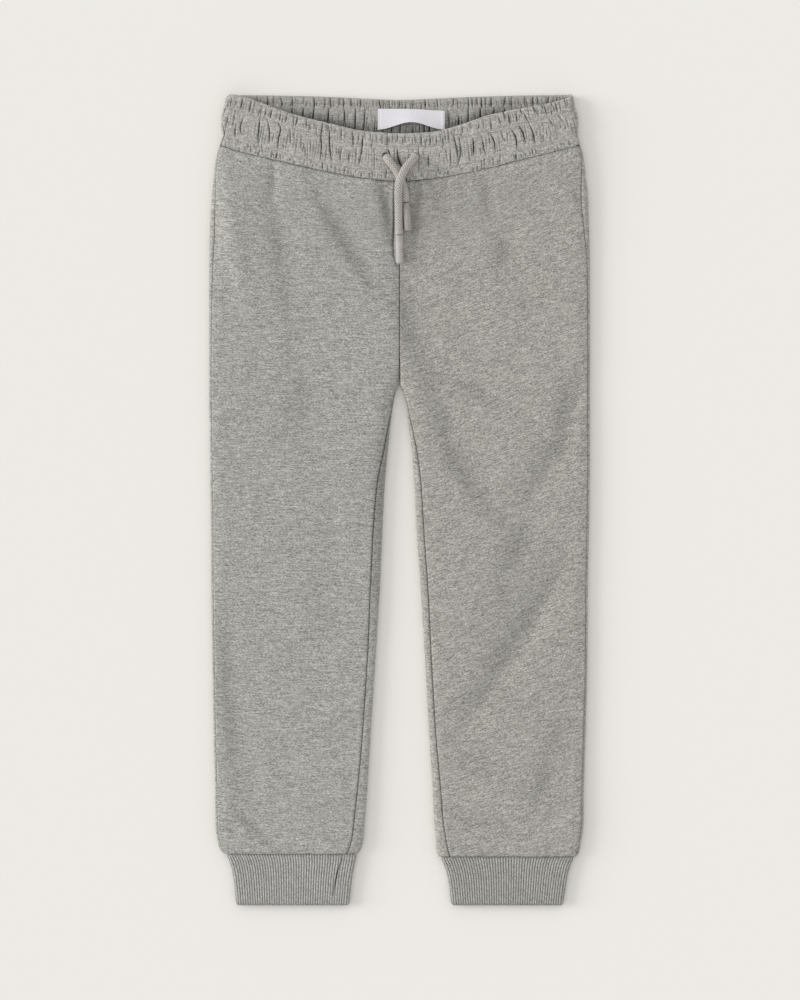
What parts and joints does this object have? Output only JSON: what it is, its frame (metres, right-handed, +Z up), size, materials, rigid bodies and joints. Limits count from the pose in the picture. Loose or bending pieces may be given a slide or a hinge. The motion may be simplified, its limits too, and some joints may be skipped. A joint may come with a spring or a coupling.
{
  "type": "jogger sweatpants laid flat",
  "caption": "Child's fleece jogger sweatpants laid flat, with a gathered elastic waistband, a drawcord with tips, in-seam pockets and rib-knit ankle cuffs.",
  "frame": {"origin": "middle of the garment's box at the surface that it lies on", "axes": "+Y from the cuffs to the waistband, +X to the right as seen from above, +Z up off the surface; the front of the garment faces +Z"},
  "size_m": [0.2818, 0.6, 0.0255],
  "materials": {
    "fleece": "heather grey sweatshirt fleece, matt, with fine dark and light streaks along the knit",
    "rib_knit": "heather grey rib knit, matt, with narrow upright ribs",
    "woven_cord": "round woven cord, warm grey, matt",
    "cord_tip": "smooth dipped tip, warm grey, satin",
    "label_satin": "white woven label, bare, faintly glossy"
  },
  "bodies": {
    "root": {"front_left": "fleece", "front_right": "fleece", "back_left": "fleece", "back_right": "fleece", "waistband_front": "fleece", "waistband_back": "fleece", "cuff_left": "rib_knit", "cuff_right": "rib_knit", "cord_long": "woven_cord", "cord_short": "woven_cord", "tip_long": "cord_tip", "tip_short": "cord_tip", "label": "label_satin"}
  },
  "joints": []
}
